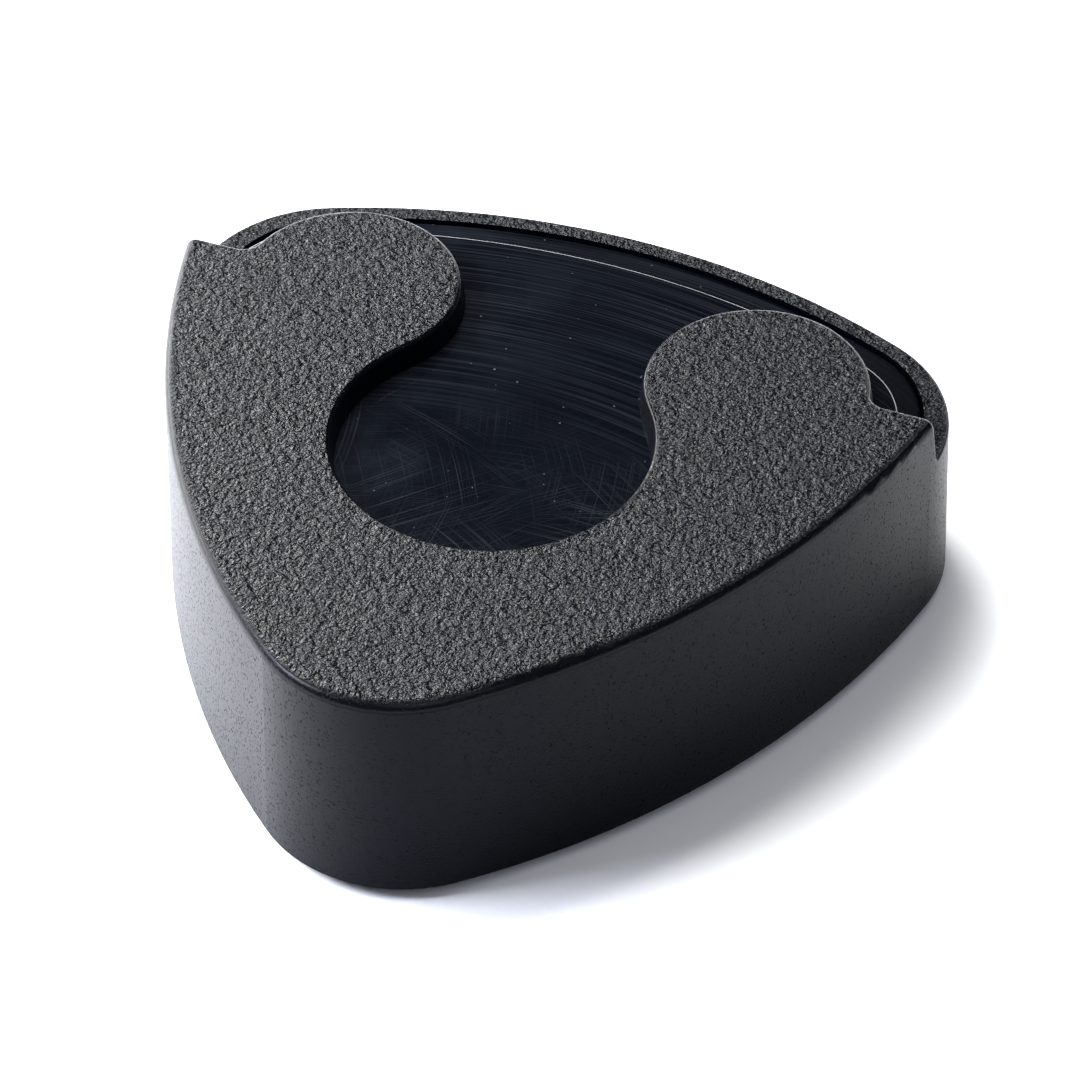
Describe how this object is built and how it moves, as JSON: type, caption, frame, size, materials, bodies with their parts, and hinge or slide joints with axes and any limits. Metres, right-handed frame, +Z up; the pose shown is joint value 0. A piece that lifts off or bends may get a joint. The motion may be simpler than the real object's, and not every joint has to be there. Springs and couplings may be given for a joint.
{
  "type": "spring-loaded pick holder",
  "caption": "Rounded-triangle self-adhesive holder with a sprung platform that presses guitar picks up under a C-shaped lip, open in the middle and at the rear.",
  "frame": {"origin": "middle of the bounding box in X and Y, on the plane the holder lies on (the underside of the release liner)", "axes": "+Z up through the platform and the lip, along the platform's travel; -Y towards the rounded tip of the triangle; +Y towards the open rear where picks go in; +X to the right seen from above"},
  "size_m": [0.0384, 0.0376, 0.0123],
  "materials": {
    "case_plastic": "spark-textured moulded, black",
    "plate_plastic": "plain moulded, black",
    "platform_plastic": "polished, fine wear scratches, black",
    "spring_steel": "bright drawn wire",
    "pad_foam": "closed-cell foam, dark grey",
    "liner_film": "smooth film, off-white"
  },
  "bodies": {
    "case": {"case": "case_plastic", "base_plate": "plate_plastic", "adhesive_pad": "pad_foam", "release_liner": "liner_film", "spring": "spring_steel"},
    "platform": {"platform": "platform_plastic"}
  },
  "joints": [
    {"name": "platform_slide", "type": "slide", "parent": "case", "child": "platform", "axis": [0, 0, 1], "range_m": [-0.0055, 0], "stiffness_N_per_m": 150, "springref_m": 0.0067, "deforming": ["spring"]}
  ]
}
